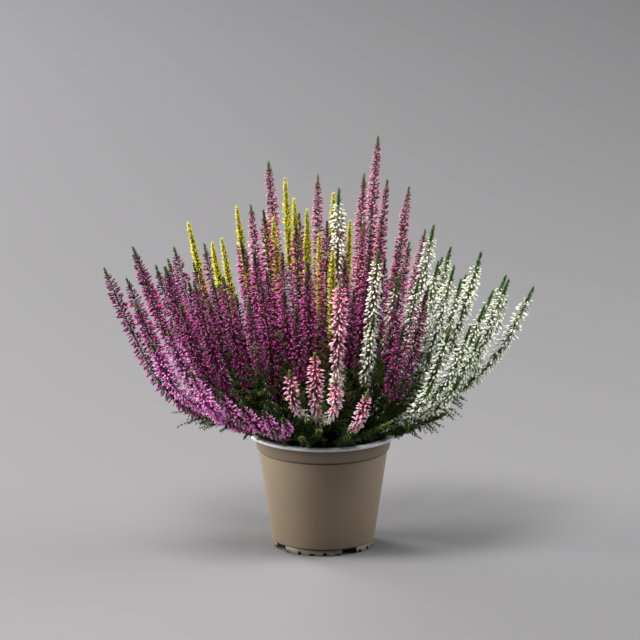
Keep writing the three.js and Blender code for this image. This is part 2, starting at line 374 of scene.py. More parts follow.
varieties = {  # lengths in millimetres; tilt in degrees, out and up from level
    "violet": {"flower": 150, "tip": 7, "reach": 6.6, "whorl": 2.15, "buds": 6, "budWide": 1.46, "taper": 30,
               "lowTilt": -32, "topTilt": 30, "tipReach": 2.2, "between": 2.8, "betweenLook": "stem"},
    "purple": {"flower": 130, "tip": 9, "reach": 6.8, "whorl": 2.3, "buds": 6, "budWide": 1.44, "taper": 30,
               "lowTilt": -32, "topTilt": 34, "tipReach": 2.2, "between": 2.8, "betweenLook": "stem"},
    "pink": {"flower": 160, "tip": 7, "reach": 6.0, "whorl": 2.2, "buds": 6, "budWide": 1.45, "taper": 55,
             "lowTilt": 2, "topTilt": 36, "tipReach": 2.0, "between": 3.4, "betweenLook": "stem"},
    "blush": {"flower": 112, "tip": 5, "reach": 7.6, "whorl": 2.3, "buds": 6, "budWide": 1.45, "taper": 20,
              "lowTilt": -56, "topTilt": 6, "tipReach": 2.0, "between": 2.8, "betweenLook": "stem"},
    "white": {"flower": 112, "tip": 10, "reach": 7.2, "whorl": 2.5, "buds": 5, "budWide": 1.7, "taper": 20,
              "lowTilt": -52, "topTilt": -10, "tipReach": 2.4, "between": 3.4, "betweenLook": "leaf"},
    "yellow": {"flower": 70, "tip": 5, "reach": 5.0, "whorl": 1.5, "buds": 6, "budWide": 1.8, "taper": 44,
               "lowTilt": 30, "topTilt": 44, "tipReach": 2.2},
    "green": {"flower": 0, "tip": 10, "tipReach": 3.0},
}
varieties["lilac"] = {**varieties["violet"], "reach": 7.8, "budWide": 1.6, "lowTilt": -24}

sprays = {
    "violet": [
        [(-169, -79, 248), (-146, -84, 222), (-158, -66, 236)],
        [(-154, 5, 247), (-128, -12, 234), (-104, -32, 242)],
        [(-127, -66, 246), (-108, -50, 230), (-134, -42, 242)],
        [(-102, -92, 242), (-116, -86, 220)],
        [(-89, -60, 236), (-70, -66, 224), (-84, -42, 226)],
        [(-79, -100, 246), (-60, -104, 226), (-92, -78, 222)],
        [(-122, -98, 204), (-104, -96, 171), (-136, -92, 191)],
        [(-150, 48, 226), (-122, 52, 236)],
        [(-128, 88, 218), (-98, 92, 230)],
        [(-66, -98, 143), (-86, -94, 151), (-48, -100, 137), (-32, -100, 131)],
    ],
    "purple": [
        [(-47, -15, 283), (-66, -24, 260), (-56, -38, 252)],
        [(-22, -45, 277), (-34, -62, 256), (-12, -60, 248)],
        [(4, -30, 277), (18, -48, 248)],
        [(-48, -92, 238), (-32, -84, 230), (-42, -72, 244)],
        [(-14, -84, 244), (-22, -92, 220)],
        [(36, -48, 250), (50, -32, 244), (24, -76, 230)],
        [(82, -70, 228), (64, -88, 204), (60, -72, 226)],
        [(-20, 60, 263), (-44, 70, 250)],
        [(40, 88, 238), (14, 100, 226)],
        [(-70, 84, 242), (-56, 106, 220)],
    ],
    "pink": [
        [(44, 10, 337), (52, 30, 297)],
        [(33, -8, 310), (14, 4, 273), (39, -30, 275)],
        [(-44, 20, 314), (-56, 8, 281)],
        [(68, -20, 256), (60, -38, 236)],
        [(70, 50, 287), (48, 62, 260)],
        [(-6, 38, 297), (8, 60, 267)],
        [(84, 84, 244), (62, 106, 224)],
    ],
    "blush": [
        [(-8, -96, 184), (-27, -98, 169), (10, -107, 165)],
        [(14, -90, 241)],
        [(35, -96, 151)],
    ],
    "white": [
        [(172, 48, 204), (150, 30, 198)],
        [(149, -15, 225), (130, -28, 206), (138, -2, 212)],
        [(128, 20, 239), (112, 6, 220)],
        [(103, -30, 239), (93, -12, 239), (86, -34, 224)],
        [(90, 30, 260), (104, 44, 238)],
        [(118, -60, 197), (126, -44, 185), (110, -70, 157)],
        [(74, -45, 234), (58, -58, 236)],
        [(46, -66, 260), (40, -86, 212)],
        [(101, -84, 200), (88, -84, 159)],
        [(150, 62, 210), (128, 64, 220)],
        [(118, 92, 204), (98, 78, 222)],
        [(10, -18, 300)],
    ],
    "yellow": [
        [(-108, 30, 262), (-92, 36, 238)],
        [(-82, -5, 256), (-90, 12, 248)],
        [(-70, 25, 276)],
        [(-31, 40, 296), (-48, 46, 267)],
        [(-26, 12, 286), (-14, 25, 273), (-40, 2, 272)],
        [(8, 26, 287), (22, 44, 260)],
        [(0, -5, 260), (-14, -18, 262)],
        [(8, -64, 260)],
    ],
    "green": [
        [(-18, -90, 112), (-4, -88, 118)],
        [(20, -92, 114), (52, -78, 121)],
        [(98, -42, 120), (76, -66, 116)],
        [(104, 8, 123), (96, 28, 118)],
        [(30, 94, 121), (6, 98, 118)],
        [(-48, 88, 118), (-28, 96, 121)],
        [(-92, 36, 121), (-84, 56, 116)],
        [(-62, -46, 108), (-72, -40, 113)],
    ],
}


def spread(h):  # how far a shoot's line has moved out from the middle, h over the soil
    h = np.maximum(h, 0)
    return 1 + growth["spreadFast"] * h * h / (h * h + growth["spreadHeight"] ** 2) + growth["spreadSlope"] * h


def smooth(t):
    c = np.clip(t, 0, 1)
    return c * c * (3 - 2 * c)


def draw(a, b):  # a fixed number from 0 to 1 for each pair
    s = math.sin(a * 12.9898 + b * 78.233) * 43758.5453
    return s - math.floor(s)


def plantShoots():
    shoots = []
    for variety, group in sprays.items():
        for number, tips in enumerate(group):
            for rank, (x, y, z) in enumerate(tips):
                height = z - growth["soilLevel"]
                wide = float(spread(height))
                shoots.append({"variety": variety, "spray": number, "rank": rank, "height": height,
                               "x": x / wide, "y": y / wide})
    for turn in range(growth["pushRounds"]):
        for i, a in enumerate(shoots):
            for b in shoots[i + 1:]:
                dx, dy = b["x"] - a["x"], b["y"] - a["y"]
                apart = math.sqrt(dx * dx + dy * dy)
                if apart >= growth["closest"]:
                    continue
                push = growth["pushShare"] * (growth["closest"] - apart) / apart
                a["x"] -= growth["pushSideways"] * push * dx
                b["x"] += growth["pushSideways"] * push * dx
                a["y"] -= push * dy
                b["y"] += push * dy
    return shoots


def centreLine(shoot, main):
    height = shoot["height"]
    start = -growth["stemDepth"] if shoot is main else growth["branching"] * height
    ownAfter, ownShare = growth["ownLine"]
    full = start + ownAfter + ownShare * height
    phase = 6.283 * draw(shoot["x"], shoot["y"])
    points = growth["linePoints"]
    h = start + (height - start) * np.arange(points) / (points - 1)
    own = 1 if shoot is main else smooth((h - start) / (full - start))
    wander = growth["sway"] * smooth(h / 60) * (1 - smooth(h / height))
    swayX, swayY = growth["swayLengths"]
    x = main["x"] + (shoot["x"] - main["x"]) * own + wander * np.sin(h / swayX + phase)
    y = main["y"] + (shoot["y"] - main["y"]) * own + wander * np.cos(h / swayY + phase)
    return np.stack([x * spread(h), y * spread(h), growth["soilLevel"] + h], axis=1)


def makePath(shoot, main):  # a shoot's line, and the length along it at each of its points
    line = centreLine(shoot, main)
    steps = np.linalg.norm(np.diff(line, axis=0), axis=1)
    return line, np.concatenate([[0], np.cumsum(steps)])


def framesAt(path, places):  # point, direction and two cross directions at each place along a path
    line, arcs = path
    centre = np.stack([np.interp(places, arcs, line[:, k]) for k in range(3)], axis=1)
    slope = np.gradient(line, axis=0)
    axis = np.stack([np.interp(places, arcs, slope[:, k]) for k in range(3)], axis=1)
    axis /= np.linalg.norm(axis, axis=1)[:, None]
    side = np.array([1.0, 0, 0]) - axis * axis[:, :1]
    side /= np.linalg.norm(side, axis=1)[:, None]
    return centre, axis, side, np.cross(axis, side)


def levelsAt(path, places):  # height over the soil
    line, arcs = path
    return np.interp(places, arcs, line[:, 2]) - growth["soilLevel"]


def roomAt(path, places, reach):  # how far a bud or leaf may stand out before it meets the next shoot
    return np.minimum(reach, growth["crowding"] * spread(levelsAt(path, places)))


# Building a spray
slots = {"bud": 0, "leaf": 1, "stem": 2, "tip": 3}  # the places of its finishes


class Bunch:  # the points and faces of all that grows on one spray
    def __init__(self):
        self.points, self.faces, self.slots = [], [], []
        self.tones, self.alongs, self.rises = [], [], []
        self.count = 0

    def stamp(self, shape, foot, axis, side, long, wide, slot, tone, rise, thick=None):
        # copies of a shape standing at foot, pointing along axis, with side across
        third = np.cross(axis, side)
        thick = wide if thick is None else thick
        p = shape["points"]
        parts = (p[None, :, 0, None] * (side * wide[:, None])[:, None, :]
                 + p[None, :, 1, None] * (third * thick[:, None])[:, None, :]
                 + p[None, :, 2, None] * (axis * long[:, None])[:, None, :])
        made = foot[:, None, :] + parts
        copies, size = made.shape[:2]
        self.points.append(made.reshape(-1, 3))
        for i in range(copies):
            base = self.count + i * size
            self.faces.extend([tuple(base + k for k in f) for f in shape["faces"]])
        self.slots.extend([slot] * (copies * len(shape["faces"])))
        self.tones.append(np.repeat(tone, size))
        self.rises.append(np.repeat(rise, size))
        self.alongs.append(np.tile(shape["along"], copies))
        self.count += copies * size

    def build(self, name, finishes):
        mesh = bpy.data.meshes.new(name)
        mesh.from_pydata((np.concatenate(self.points) * mm).tolist(), [], self.faces)
        for finish in finishes:
            mesh.materials.append(finish)
        mesh.polygons.foreach_set("material_index", self.slots)
        mesh.polygons.foreach_set("use_smooth", [True] * len(self.faces))
        corners = np.zeros(len(mesh.loops), dtype=np.int32)
        mesh.loops.foreach_get("vertex_index", corners)
        pairs = np.stack([np.concatenate(self.tones), np.concatenate(self.alongs)], axis=1)[corners]
        mesh.uv_layers.new(name="bud").data.foreach_set("uv", pairs.ravel())
        rise = mesh.attributes.new("rise", "FLOAT", "POINT")
        rise.data.foreach_set("value", np.concatenate(self.rises))
        piece = bpy.data.objects.new(name, mesh)
        bpy.context.collection.objects.link(piece)
        return piece


def unit(v):
    return v / np.linalg.norm(v, axis=1)[:, None]


loose = {"turn": 0.22, "lean": 16, "shift": 0.45, "size": (0.78, 1.14)}  # how much each bud or leaf strays


def growWhorls(bunch, path, places, shape, count, tilt, long, wide, slot, rng, lift=0.5, flat=1.0, rise=None):
    # count copies round the shoot at every place; tilt, long and wide hold one value for each place
    centre, axis, u, v = framesAt(path, places)
    total = len(places) * count
    turn = np.repeat(np.arange(len(places)) * (math.pi / count), count)
    turn = turn + np.tile(np.arange(count) * 2 * math.pi / count, len(places))
    angle = turn + rng.normal(0, loose["turn"], total)
    u, v, axis, centre = (np.repeat(a, count, axis=0) for a in (u, v, axis, centre))
    out = np.cos(angle)[:, None] * u + np.sin(angle)[:, None] * v
    lean = np.radians(np.repeat(tilt, count) + rng.normal(0, loose["lean"], total))
    point = out * np.cos(lean)[:, None] + axis * np.sin(lean)[:, None]
    side = unit(np.cross(axis, out))
    foot = centre + out * lift + axis * rng.normal(0, loose["shift"], total)[:, None]
    size = rng.uniform(*loose["size"], total)
    rises = np.repeat(np.linspace(0, 1, len(places)) if rise is None else rise, count)
    wide = np.repeat(wide, count) * size
    bunch.stamp(shape, foot, point, side, np.repeat(long, count) * size, wide, slot, rng.random(total), rises,
                thick=wide * flat)


stemSize = {  # millimetres
    "main": (0.95, 0.35),  # radii at foot and tip
    "side": (0.6, 0.35),
    "taper": 0.7,
    "every": 9,  # one ring at every so many points of the line
    "endsBefore": 3,  # points before the line's own end
}


def growStem(name, line, foot, tip, finish):
    curve = bpy.data.curves.new(name, "CURVE")
    curve.dimensions = "3D"
    curve.bevel_depth = mm
    curve.bevel_resolution = 0
    curve.use_fill_caps = True
    spline = curve.splines.new("POLY")
    keep = line[::stemSize["every"]]
    spline.points.add(len(keep) - 1)
    width = foot + (tip - foot) * np.linspace(0, 1, len(keep)) ** stemSize["taper"]
    for point, (x, y, z), radius in zip(spline.points, keep, width):
        point.co = (x * mm, y * mm, z * mm, 1)
        point.radius = radius
    stem = bpy.data.objects.new(name, curve)
    bpy.context.collection.objects.link(stem)
    pick(stem)
    bpy.ops.object.convert(target="MESH")
    stem = bpy.context.object
    stem.data.materials.clear()
    stem.data.materials.append(finish)
    heights = np.array([p.co.z for p in stem.data.vertices]) / mm - growth["soilLevel"]
    rise = stem.data.attributes.new("rise", "FLOAT", "POINT")
    rise.data.foreach_set("value", np.clip(heights / growth["riseHeight"], 0, 1))
    stem.data.uv_layers.new(name="bud")
    for face in stem.data.polygons:
        face.use_smooth = True
    return stem


twigs = {  # millimetres and degrees
    "step": 2.2,  # between twigs on a main shoot
    "sideStep": 3.4,
    "backStep": 1.3,  # times as far apart on shoots that stand behind frontLine
    "frontLine": 6,
    "fillPlaces": (-16, -4),  # shoots that stand between these carry twice as many, between fillLevels
    "fillLevels": (18, 64),
    "upMain": 95,  # how far up a main shoot they grow
    "upSide": 60,
    "intoFlowers": 20,
    "belowTip": 4,
    "stray": 1.6,
    "reach": 10,
    "longer": 4,  # than there is room for, so that they cross
    "size": (0.8, 1.6),
    "innerRise": 25,  # inside the crown they lengthen up to this level
    "innerTop": 70,  # and shorten again over innerFall below this one
    "innerFall": 20,
    "innerGain": 0.5,
    "lean": (25, 55),
    "rimRadius": 62,
    "insideLift": 0.3,
    "rightLine": 12,  # out over the rim, shoots right of this line droop and the others lift
    "rightDroop": -0.5,
    "leftLift": 0.2,
    "widest": 118,  # none farther out than this
    "rimLevel": 103,  # shorter where they end below this and outside rimClear
    "rimClear": 42,
    "rimShare": 0.4,
    "thick": 0.6,
    "rows": 7,
    "rowSpan": (0.12, 0.98),
    "needles": 3,
    "needleTurn": 0.35,
    "needleStray": 0.3,
    "needleOut": 0.8,
    "needleUp": (0.5, 0.9),
    "needleLong": (2.6, 4.0),
    "needleTaper": 0.3,
    "needleWide": 0.42,
    "needleThick": 0.24,
}


def growTwigs(bunch, path, places, long, shapes, rng, droop):
    # short leafy twigs on the lower part of a shoot, which droop or lift once they are out over the rim
    t = twigs
    centre, axis, u, v = framesAt(path, places)
    angle = rng.uniform(0, 2 * math.pi, len(places))
    out = np.cos(angle)[:, None] * u + np.sin(angle)[:, None] * v
    lean = np.radians(rng.uniform(*t["lean"], len(places)))
    hang = np.where(np.hypot(centre[:, 0], centre[:, 1]) > t["rimRadius"], droop, t["insideLift"])
    up = hang[:, None] * np.array([0, 0, 1.0])
    point = unit(out * np.cos(lean)[:, None] + axis * np.sin(lean)[:, None] + up)
    end = centre + point * long[:, None]
    keep = np.hypot(centre[:, 0], centre[:, 1]) < t["widest"]
    overRim = (end[:, 2] < t["rimLevel"]) & (np.hypot(end[:, 0], end[:, 1]) > t["rimClear"])
    long = np.where(overRim, t["rimShare"] * long, long)
    side = unit(np.cross(point, rng.normal(0, 1, (len(places), 3))))
    rise = np.clip((centre[:, 2] - growth["soilLevel"]) / growth["riseHeight"], 0, 1)
    centre, point, side, long, rise = centre[keep], point[keep], side[keep], long[keep], rise[keep]
    count = len(long)
    bunch.stamp(shapes["twig"], centre, point, side, long, np.full(count, t["thick"]), slots["stem"],
                rng.random(count), rise)

    # needles in rows round each twig
    rows, each = t["rows"], t["needles"]
    share = np.tile(np.repeat(np.linspace(*t["rowSpan"], rows), each), count)
    point, side, long, centre = (np.repeat(a, rows * each, axis=0) for a in (point, side, long, centre))
    third = np.cross(point, side)
    around = np.tile(np.arange(rows * each) * (2 * math.pi / each + t["needleTurn"]), count)
    around = around + rng.normal(0, t["needleStray"], len(share))
    out = np.cos(around)[:, None] * side + np.sin(around)[:, None] * third
    needle = unit(out * t["needleOut"] + point * rng.uniform(*t["needleUp"], len(share))[:, None])
    foot = centre + point * (share * long)[:, None]
    lengths = rng.uniform(*t["needleLong"], len(share)) * (1 - t["needleTaper"] * share)
    bunch.stamp(shapes["leaf"], foot, needle, unit(np.cross(point, out)), lengths, lengths * t["needleWide"],
                slots["leaf"], rng.random(len(share)), np.repeat(rise, rows * each),
                thick=lengths * t["needleThick"])


leaves = {  # millimetres and degrees; wide is a share of a leaf's length, and flat of its width
    "low": {"step": 1.9, "intoFlowers": 4, "around": 4, "reach": 4.2, "tilt": 38.0, "wide": 0.34, "flat": 0.7},
    "between": {"around": 3, "tilt": 40.0, "wide": 0.38, "flat": 0.6},
    "tip": {"step": 0.95, "intoFlowers": 3, "endsBefore": 0.3, "around": 5, "tilt": 42, "closing": 36,
            "longer": 0.2, "wide": 0.45, "flat": 0.7, "lift": 0.4},
}


def growLeaves(bunch, path, shoot, main, variety, bare, flowerStart, shapes, rng):
    # single leaves up to the flowers, and leafy twigs low down
    leaf = leaves["low"]
    places = np.arange(bare, flowerStart + leaf["intoFlowers"], leaf["step"])
    tilt, long = np.full(len(places), leaf["tilt"]), roomAt(path, places, leaf["reach"])
    growWhorls(bunch, path, places, shapes["leaf"], leaf["around"], tilt, long, long * leaf["wide"],
               slots["leaf"], rng, flat=leaf["flat"])

    t = twigs
    up = t["upMain"] if shoot is main else t["upSide"]
    last = min(flowerStart + (t["intoFlowers"] if variety["flower"] else -t["belowTip"]), bare + up)
    apart = 1 if shoot["y"] < t["frontLine"] else t["backStep"]
    step = (t["step"] if shoot is main else t["sideStep"]) * apart
    places = np.arange(bare + 2, last, step)
    fillFrom, fillTo = t["fillPlaces"]
    if fillFrom < shoot["x"] < fillTo:
        low, high = t["fillLevels"]
        level = levelsAt(path, places)
        places = np.concatenate([places, places[(level > low) & (level < high)] + step / 2])
    if len(places) == 0:
        return
    places = places + rng.uniform(-t["stray"], t["stray"], len(places))
    level = levelsAt(path, places)
    inside = smooth(level / t["innerRise"]) * smooth((t["innerTop"] - level) / t["innerFall"])
    long = (roomAt(path, places, t["reach"]) + t["longer"]) * rng.uniform(*t["size"], len(places))
    droop = t["rightDroop"] if shoot["x"] > t["rightLine"] else t["leftLift"]
    growTwigs(bunch, path, places, long * (1 + t["innerGain"] * inside), shapes, rng, droop)


budSwell = {  # smaller at both ends of a spike
    "lowStart": 0.5,
    "lowTaper": 16,
    "topStart": 0.3,
    "long": (0.4, 0.6),  # a bud's least share, and what it gains in full
    "wide": (0.55, 0.45),
    "tiltCurve": 1.5,
}


def growBuds(bunch, path, shoot, variety, flowerStart, flowerEnd, shapes, rng):
    # buds, smaller and more upright towards the tip, or leaf rosettes on the yellow kind
    places = np.arange(flowerStart, flowerEnd, variety["whorl"])
    share = (places - flowerStart) / (flowerEnd - flowerStart)
    top = smooth((flowerEnd - places) / variety["taper"] + budSwell["topStart"])
    full = top * smooth((places - flowerStart) / budSwell["lowTaper"] + budSwell["lowStart"])
    tilt = variety["lowTilt"] + (variety["topTilt"] - variety["lowTilt"]) * share ** budSwell["tiltCurve"]
    least, gain = budSwell["long"]
    long = roomAt(path, places, variety["reach"]) * (least + gain * full)
    least, gain = budSwell["wide"]
    wide = variety["budWide"] * (least + gain * full)
    leafy = shoot["variety"] == "yellow"
    growWhorls(bunch, path, places, shapes["leaf" if leafy else "bud"], variety["buds"], tilt, long, wide,
               slots["bud"], rng, rise=share)
    if leafy:
        return
    leaf = leaves["between"]
    tilt, long = np.full(len(places), leaf["tilt"]), np.full(len(places), variety["between"])
    growWhorls(bunch, path, places + variety["whorl"] / 2, shapes["leaf"], leaf["around"], tilt, long,
               long * leaf["wide"], slots[variety["betweenLook"]], rng, flat=leaf["flat"], rise=share)


def growTip(bunch, path, variety, flowerEnd, shapes, rng):
    leaf = leaves["tip"]
    length = path[1][-1]
    places = np.arange(flowerEnd - leaf["intoFlowers"], length - leaf["endsBefore"], leaf["step"])
    share = np.clip((length - places) / variety["tip"], 0, 1)
    tilt = leaf["tilt"] + leaf["closing"] * (1 - share) ** 2
    long = variety["tipReach"] * (1.0 + leaf["longer"] * share)
    growWhorls(bunch, path, places, shapes["leaf"], leaf["around"], tilt, long, long * leaf["wide"],
               slots["tip"], rng, lift=leaf["lift"], flat=leaf["flat"])


# shoots taller than this flower less if their tips are in front of this line and not this far across
tallFront = {"height": 120, "line": -50, "across": 105}


def growShoot(bunch, shoot, main, variety, shapes, rng):
    path = makePath(shoot, main)
    line, arcs = path
    x, y = line[-1, :2]
    isTall = shoot["height"] > tallFront["height"] and y < tallFront["line"] and abs(x) < tallFront["across"]
    bloomShare = growth["frontShare" if isTall and shoot["variety"] != "blush" else "bloomShare"]
    bare = growth["stemDepth"] + growth["bareMain"] if shoot is main else growth["bareSide"]
    flowerEnd = arcs[-1] - variety["tip"]
    flowerStart = max(bare, flowerEnd - min(variety["flower"], bloomShare * arcs[-1]))
    growLeaves(bunch, path, shoot, main, variety, bare, flowerStart, shapes, rng)
    if variety["flower"]:
        growBuds(bunch, path, shoot, variety, flowerStart, flowerEnd, shapes, rng)
    growTip(bunch, path, variety, flowerEnd, shapes, rng)
    return line


def growSpray(name, main, sides, variety, finishes, shapes, seed):
    rng = np.random.default_rng(seed)
    bunch = Bunch()
    stems = []
    for shoot in [main, *sides]:
        line = growShoot(bunch, shoot, main, variety, shapes, rng)
        foot, tip = stemSize["main" if shoot is main else "side"]
        line = line[:-stemSize["endsBefore"]]
        stems.append(growStem(name + "_stem", line, foot, tip, finishes[slots["stem"]]))
    pick(bunch.build(name, finishes), stems)
    bpy.ops.object.join()
    return bpy.context.object


# Pot, in millimetres and degrees
potSize = {
    "height": 95.5, "rim": 61.2, "rimDepth": 2.8, "collar": 56.2, "shoulder": 54.2, "shoulderHeight": 81.7,
    "bodyTop": 52.5, "bodyFoot": 41.9, "foot": 40.6, "footHeight": 5.3,
    "footWall": 1.4, "wall": 1.2, "floor": 1.5,
    "steps": 128, "smoothAngle": 38, "cuts": 24, "firstSlot": -58, "pitch": 15, "cutDepth": 3,
    "holes": 4, "holeRadius": 4.5, "holeCircle": 29, "holeDepth": 6,
}

footCuts = {  # outlines seen from outside, across and up
    "slot": [(-8, -1), (8, -1), (6.6, 5.0), (-6.6, 5.0)],
    "flat": [(-2.6, -1), (2.6, -1), (2.2, 2.0), (-2.2, 2.0)],
    "arch": [(-1.7, -1), (1.7, -1), (1.5, 2.2), (0.8, 3.0), (0, 3.2), (-0.8, 3.0), (-1.5, 2.2)],
}


def potProfile():  # radius and height, from under the middle, up the outside and down the inside
    p = potSize
    top, shoulder, foot, footTop = p["height"], p["shoulderHeight"], p["foot"], p["footHeight"]
    body, neck, collar, wall = p["bodyFoot"], p["bodyTop"], p["collar"], p["wall"]
    ringInside, under = foot - p["footWall"], footTop + 0.7
    rimFoot, lip = top - p["rimDepth"], p["rimDepth"] / 2
    underside = [(0, under), (ringInside - 0.4, under), (ringInside - 0.2, under - 0.4)]
    footRing = [(ringInside, 0.2), (ringInside + 0.2, 0), (foot - 0.3, 0), (foot, 0.3), (foot, footTop - 0.5),
                (foot - 0.2, footTop - 0.2), (foot - 0.6, footTop), (foot - 0.6, footTop + 0.5)]
    outside = [(body - 0.3, footTop + 0.7), (body, footTop + 1.2), (neck - 0.1, shoulder - 2.2)]
    groove = [(neck - 0.15, shoulder - 1.8), (neck - 0.6, shoulder - 1.4), (neck - 0.6, shoulder - 0.5),
              (p["shoulder"] - 0.4, shoulder - 0.1), (p["shoulder"], shoulder + 0.4)]
    underRim = [(collar - 0.3, rimFoot - 1.2), (collar - 0.1, rimFoot - 0.5), (collar + 0.4, rimFoot - 0.15),
                (p["rim"] - lip - 0.2, rimFoot)]
    edge = [(p["rim"] - lip + lip * math.cos(a), top - lip + lip * math.sin(a))
            for a in np.radians([-72, -48, -24, 0, 24, 48, 72])]
    onRim = [(p["rim"] - lip, top), (collar + 0.6, top), (collar - 0.5, top - 0.3)]
    floor = under + p["floor"]
    inside = [(collar - wall, top - 1.3), (p["shoulder"] - wall, shoulder + 0.3),
              (neck - wall - 0.6, shoulder - 2), (body - wall - 0.2, floor), (0, floor)]
    return underside + footRing + outside + groove + underRim + edge + onRim + inside


def makePot(plastic, rimPlastic):
    clearPick()
    bpy.ops.mesh.primitive_plane_add(size=1)
    pot = bpy.context.object
    pot.name = "pot_moulding"
    editAll()
    bpy.ops.mesh.delete(type="VERT")
    endEdit()
    outline = [(r * mm, 0, z * mm) for r, z in potProfile()]
    pot.data.from_pydata(outline, [(i, i + 1) for i in range(len(outline) - 1)], [])
    editAll()
    bpy.ops.mesh.spin(steps=potSize["steps"], angle=2 * math.pi, center=(0, 0, 0), axis=(0, 0, 1))
    bpy.ops.mesh.select_all(action="SELECT")
    bpy.ops.mesh.remove_doubles(threshold=0.00001)
    bpy.ops.mesh.normals_make_consistent(inside=False)
    endEdit()
    cutFoot(pot)
    pot.data.materials.clear()
    pot.data.materials.append(plastic)
    pot.data.materials.append(rimPlastic)
    paleOutside = potSize["collar"] - 1
    paleAbove = potSize["height"] - potSize["rimDepth"] - 0.3
    for face in pot.data.polygons:
        x, y, z = face.center / mm
        face.use_smooth = True
        face.material_index = 1 if math.hypot(x, y) > paleOutside and z > paleAbove else 0
    pick(pot)
    bpy.ops.object.shade_smooth_by_angle(angle=math.radians(potSize["smoothAngle"]))
    return pot


def makeFootCut(outline, turn):
    p = potSize
    ring = [(x, -p["foot"] + d, z) for d in (p["cutDepth"], -p["cutDepth"]) for x, z in outline]
    n = len(outline)
    faces = [tuple(range(n)), tuple(reversed(range(n, 2 * n)))]
    faces += [(k, k + n, (k + 1) % n + n, (k + 1) % n) for k in range(n)]
    cos, sin = math.cos(turn), math.sin(turn)
    turned = [((x * cos - y * sin) * mm, (x * sin + y * cos) * mm, z * mm) for x, y, z in ring]
    mesh = bpy.data.meshes.new("foot_cut")
    mesh.from_pydata(turned, [], faces)
    cutter = bpy.data.objects.new("foot_cut", mesh)
    bpy.context.collection.objects.link(cutter)
    return cutter


def cutFoot(pot):  # wide slots at the quarters, small notches between, and the drain holes
    p = potSize
    cutters = []
    for i in range(p["cuts"]):
        kind = "slot" if i % 6 == 0 else "flat" if i % 2 else "arch"
        cutters.append(makeFootCut(footCuts[kind], math.radians(p["firstSlot"] + i * p["pitch"])))
    clearPick()
    out, deep = p["holeCircle"] * mm, p["holeDepth"] * mm
    for k in range(p["holes"]):
        turn = k * 2 * math.pi / p["holes"]
        bpy.ops.mesh.primitive_cylinder_add(vertices=24, radius=p["holeRadius"] * mm, depth=deep,
                                            location=(out * math.cos(turn), out * math.sin(turn), deep))
        cutters.append(bpy.context.object)
    pick(cutters[0], cutters)
    bpy.ops.object.join()
    cutter = bpy.context.object
    editAll()
    bpy.ops.mesh.normals_make_consistent(inside=False)
    endEdit()
    pick(pot)
    cut = pot.modifiers.new("foot_cuts", "BOOLEAN")
    cut.operation = "DIFFERENCE"
    cut.solver = "MANIFOLD"
    cut.object = cutter
    bpy.ops.object.modifier_apply(modifier=cut.name)
    bpy.data.objects.remove(cutter)


# height in decimetres and grey: painted shade at the foot line, in the groove and under the lip
potPaintedShade = [
    (0.0, 0.46), (0.02, 0.62), (0.046, 0.64), (0.053, 0.46), (0.061, 0.5), (0.068, 1.0),
    (0.796, 1.0), (0.805, 0.42), (0.814, 0.42), (0.822, 0.92),
    (0.86, 0.86), (0.9, 0.66), (0.921, 0.4), (0.927, 0.2),
]


def potFinish():
    finish = Finish("pot_plastic", roughness=0.42)
    grain = finish.noise(900, 3)
    shade = finish.mix(finish.noise(28, 3), linear(121, 106, 85), linear(133, 117, 95))
    shade = finish.mix(grain * 0.25, shade, linear(104, 90, 73))
    # the height marks paint shade onto the plastic: darker at the foot line, in the groove and under the lip
    finish.color(finish.mix(1.0, shade, finish.greys(finish.decimetres(), potPaintedShade), "MULTIPLY"))
    finish.feed("Roughness", 0.36 + grain * 0.16)
    finish.bump(finish.noise(1600, 2), 0.12, 0.0002)
    return finish.material


def rimFinish():
    finish = Finish("rim_plastic", roughness=0.4)
    dust = finish.greys(finish.noise(160, 4), [(0.52, 0), (0.75, 1)])
    finish.color(finish.mix(dust, linear(206, 207, 209), linear(184, 183, 181)))
    finish.feed("Roughness", 0.34 + finish.noise(800) * 0.16)
    finish.bump(finish.noise(1600, 2), 0.1, 0.0002)
    return finish.material


# Soil, in millimetres
soilSize = {
    "edge": 53.2,
    "level": 86.0,
    "body": [(52.7, 82.2), (50.4, 79.7), (40.2, 7.8)],  # radius and level, down from the edge
    "relief": 0.585,  # height of its waves
    "rings": 26,
    "steps": 96,
    "crumbs": 1300,
    "crumbSize": (0.6, 1.7),  # the smallest, and what the largest has more
    "crumbLevel": (-0.4, 0.7),
    "crumbMargin": 1.6,
    "seed": 7,
}


def soilFinish():
    finish = Finish("potting_soil", roughness=0.95)
    lumps = finish.noise(260, 6, 0.65)
    fibre = finish.noise(1100, 4, 0.6)
    stops = [(0.3, linear(14, 10, 8)), (0.55, linear(34, 26, 20)), (0.8, linear(62, 47, 34))]
    shade = finish.ramp(lumps, stops)
    finish.color(finish.mix(finish.greys(fibre, [(0.6, 0), (0.72, 0.6)]), shade, linear(96, 74, 52)))
    finish.bump(lumps + fibre * 0.5, 0.9, 0.0015)
    return finish.material


def crumbFinish():
    finish = Finish("soil_crumbs", roughness=0.95)
    stops = [(0.0, linear(12, 9, 7)), (0.6, linear(40, 30, 22)), (0.93, linear(70, 52, 36)),
             (1.0, linear(120, 96, 66))]
    finish.color(finish.ramp(finish.bud(0), stops))
    finish.bump(finish.noise(1500, 4), 0.8, 0.0008)
    return finish.material


